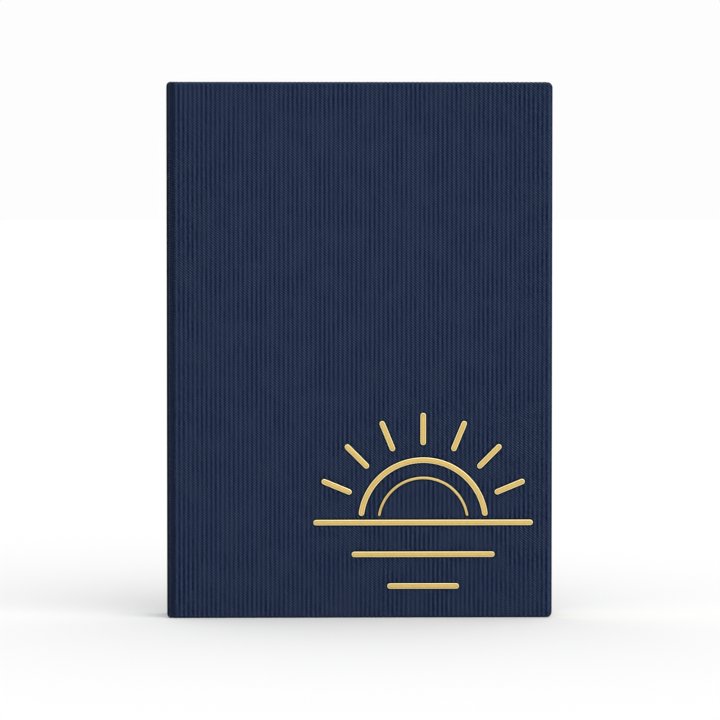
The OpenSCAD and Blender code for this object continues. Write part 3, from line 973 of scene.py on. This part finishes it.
# A rolled cord wound with silk: along Y, its radius is r (1 - proud (1 - |sine| ^ 0.6)) with one swell a
# winding, closed at both ends. It stands on a foot of cord and on a strip of tape that runs down the folds.
def headbandPiece(node, up):
    low, high = cornersOf(node)
    radius = (high[0] - foldX) / 2
    centreX, centreZ = high[0] - radius, (high[2] - radius) if up > 0 else (low[2] + radius)
    y = np.linspace(low[1], high[1], headband["windings"] * headband["perWinding"] + 1)
    turns = (y - low[1]) / (high[1] - low[1]) * headband["windings"]
    swell = radius * (1 - headband["windingProud"] * (1 - np.abs(np.sin(math.pi * turns)) ** 0.6))
    a = np.linspace(0, 2 * math.pi, headband["around"] + 1)
    # The windings lean a little, as thread does round a cord
    lean = headband["lean"] * np.cos(a)[None]
    cord = np.stack([centreX + swell[:, None] * np.cos(a), np.clip(y[:, None] + lean, low[1], high[1]),
                     centreZ + swell[:, None] * np.sin(a)], -1)
    caps = [np.repeat([[[centreX, end, centreZ]]], len(a), 1) for end in (y[0], y[-1])]
    points, faces = joinGrids([np.concatenate([caps[0], cord, caps[1]])])
    cream = np.floor(turns / headband["turnsOfCream"]) % 2
    mark = np.repeat(np.concatenate([[cream[0]], cream, [cream[-1]]])[:, None], len(a), 1).ravel()
    tapeEnd = low[2] if up > 0 else high[2]
    tape = boxCorners((low[0], low[0] + headband["tape"]), (low[1] + 0.01, high[1] - 0.01),
                      sorted((tapeEnd, centreZ + up * 0.3 * radius)))
    foot = boxCorners((low[0], centreX), (low[1] + 0.02, high[1] - 0.02),
                      sorted((centreZ - up * radius * 0.98, centreZ - up * radius * 0.6)))
    boxFaces = np.array([[0, 1, 3, 2], [4, 6, 7, 5], [0, 4, 5, 1], [2, 3, 7, 6], [0, 2, 6, 4], [1, 5, 7, 3]])
    for solid in (tape, foot):
        faces += (boxFaces + len(points)).tolist()
        points = np.concatenate([points, solid])
        mark = np.concatenate([mark, np.ones(8)])
    piece = makePiece(node + "_wound", points, faces, silk, marks={"creamTurn": mark})
    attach(piece, "page_block")
    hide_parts(node)


headbandPiece("headband_head", 1)
headbandPiece("headband_tail", -1)

# What stays as the CAD has it: boards, linings and thread, inside the case
for node, material in {
    "front_board": greyboard, "back_board": greyboard, "spine_board": greyboard, "spine_liner": kraft,
    "mull_spine": gauze, "mull_front_flap": gauze, "mull_back_flap": gauze, "sewing_thread": linen,
}.items():
    shown = frame["nodes"][node]
    shown.data.materials.clear()
    shown.data.materials.append(material)

print("floor, light and camera")

studio = {
    "floorGrey": "#ededed", "floorSize": 400000.0,
    "worldGrey": "#fdfdfd", "worldStrength": 1.0,
    "keyPower": 1.05, "keySpread": 70.0, "keyFrom": (0.55, -1.0, 1.0),
    "aim": (0.155, 101.28),  # across and up on the front cover
    "cameraFar": 1500.0, "cameraPitch": 2.13, "cameraTurn": 1.1,
    "lens": 191.53, "sensor": 36.0,
}


# One square in the plane z = 0
def floorPiece():
    half = studio["floorSize"] / 2 * mm
    mesh = bpy.data.meshes.new("floor")
    corners = [(-half, -half, 0), (half, -half, 0), (half, half, 0), (-half, half, 0)]
    mesh.from_pydata(corners, [], [(0, 1, 2, 3)])
    material, tree = newMaterial("mattFloorPaint")
    finishMaterial(tree, Base_Color=studio["floorGrey"], Roughness=1.0, Specular_IOR_Level=0.0)
    mesh.materials.append(material)
    return newObject("floor", mesh)


floorPiece()

world = bpy.data.worlds.new("softStudio")
world.use_nodes = True
sky = world.node_tree.nodes["Background"].inputs
sky[0].default_value = hexLinear(studio["worldGrey"])
sky[1].default_value = studio["worldStrength"]
bpy.context.scene.world = world

# A very large soft key, from the right and the front
keyLight = bpy.data.lights.new("keyLight", "SUN")
keyLight.energy = studio["keyPower"]
keyLight.angle = math.radians(studio["keySpread"])
key = newObject("keyLight", keyLight)
key.rotation_mode = "QUATERNION"
key.rotation_quaternion = Vector(studio["keyFrom"]).to_track_quat("Z", "Y")

camera = newObject("camera", bpy.data.cameras.new("camera"))
pitch, turned = math.radians(studio["cameraPitch"]), math.radians(studio["cameraTurn"])
back = Vector((-math.sin(turned) * math.cos(pitch), -math.cos(turned) * math.cos(pitch), math.sin(pitch)))
aim = Vector((studio["aim"][0] * mm, coverLow[1] * mm, studio["aim"][1] * mm))
camera.location = aim + back * studio["cameraFar"] * mm
camera.rotation_mode = "QUATERNION"
camera.rotation_quaternion = back.to_track_quat("Z", "Y")
camera.data.lens = studio["lens"]
camera.data.sensor_width = studio["sensor"]
camera.data.clip_start, camera.data.clip_end = 0.01, 1000
bpy.context.scene.camera = camera
bpy.context.scene.view_settings.view_transform = "Standard"
